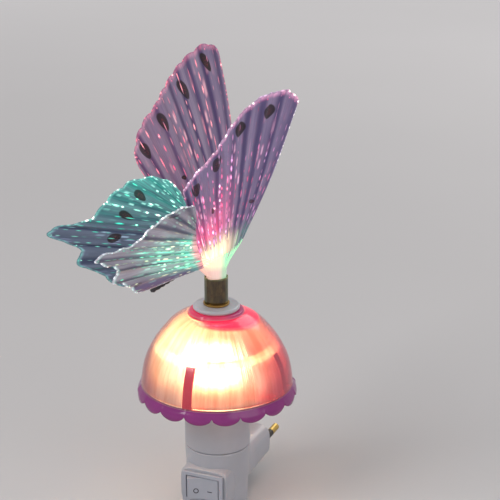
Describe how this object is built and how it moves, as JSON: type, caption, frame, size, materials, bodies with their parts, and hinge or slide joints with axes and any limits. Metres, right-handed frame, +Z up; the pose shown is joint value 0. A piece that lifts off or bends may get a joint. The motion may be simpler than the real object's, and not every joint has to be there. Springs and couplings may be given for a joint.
{
  "type": "fibre optic plug-in lamp",
  "caption": "Plug-in night light: round column with rocker switch and plug arm, scalloped dome shade, and a fan of light fibres ending in pleated butterfly wings.",
  "frame": {"origin": "middle of the plug's flat wall face", "axes": "+Z up along the lamp's column, +Y out of the plug's face into the wall, +X to the right seen from the front"},
  "size_m": [0.1298, 0.1397, 0.2387],
  "materials": {
    "body_white": "glossy moulded white",
    "switch_white": "satin moulded white",
    "inner_white": "plain heat-proof moulding",
    "collar_white": "satin white, lavender in the light",
    "shade_pink": "clear tinted shell, purple at the rim",
    "frosted": "frosted diffuser",
    "brass": "plain turned brass",
    "steel": "zinc plated",
    "dark_plastic": "dark film or moulding",
    "wire_brown": "soft insulation",
    "wire_blue": "soft insulation",
    "led_red": "clear lens",
    "led_green": "clear lens",
    "led_blue": "clear lens",
    "led_warm": "clear lens",
    "fibre": "bundle of clear light fibres",
    "body_black": "ribbed, black",
    "wing_fabric": "pleated lavender cloth with dark spots"
  },
  "bodies": {
    "housing": {"lower_housing": "body_white", "base_cap": "body_white", "base_screw_left": "steel", "base_screw_right": "steel", "plug_back_plate": "body_white", "plate_screw_upper": "steel", "plate_screw_lower": "steel", "plug_pin_left": "brass", "pin_sleeve_left": "dark_plastic", "plug_pin_right": "brass", "pin_sleeve_right": "dark_plastic", "switch_frame": "switch_white", "switch_base": "inner_white", "terminal_common": "brass", "terminal_load": "brass", "upper_sleeve": "body_white", "lamp_holder": "inner_white", "screw_shell": "brass", "centre_contact": "brass", "live_wire": "wire_brown", "switched_wire": "wire_brown", "neutral_wire": "wire_blue", "bulb_cap": "brass", "bulb_tip": "steel", "bulb_collar": "inner_white", "led_board": "inner_white", "led_red": "led_red", "led_green": "led_green", "led_blue": "led_blue", "led_warm": "led_warm", "bulb_globe": "frosted", "shade_carrier": "inner_white", "carrier_nut": "inner_white"},
    "rocker": {"rocker": "switch_white", "rocker_plunger": "brass", "rocker_spring": "steel"},
    "contact": {"contact_blade": "brass"},
    "shade": {"shade_shell": "shade_pink", "shade_liner": "frosted", "top_collar": "collar_white", "collar_nut": "collar_white"},
    "butterfly": {"ferrule": "brass", "film_wrap": "dark_plastic", "fibre_bundle": "fibre", "thorax": "body_black", "abdomen": "body_black", "head": "body_black", "wing_fore_far": "wing_fabric", "wing_fore_near": "wing_fabric", "wing_hind_far": "wing_fabric", "wing_hind_near": "wing_fabric"}
  },
  "joints": [
    {"name": "rocker_tilt", "type": "hinge", "parent": "housing", "child": "rocker", "pos_m": [0, -0.0599, -0.0015], "axis": [0, 0, 1], "range_deg": [-20, 0]},
    {"name": "contact_tilt", "type": "hinge", "parent": "housing", "child": "contact", "pos_m": [0, -0.0514, -0.0015], "axis": [0, 0, 1], "range_deg": [0, 12]},
    {"name": "shade_lift", "type": "slide", "parent": "housing", "child": "shade", "axis": [0, 0, 1], "range_m": [0, 0.05]},
    {"name": "butterfly_turn", "type": "hinge", "parent": "shade", "child": "butterfly", "pos_m": [0, -0.042, 0.09], "axis": [0, 0, 1], "continuous": true}
  ],
  "couplings": [
    {"joint": "contact_tilt", "follows": "rocker_tilt", "ratio": -0.6}
  ]
}
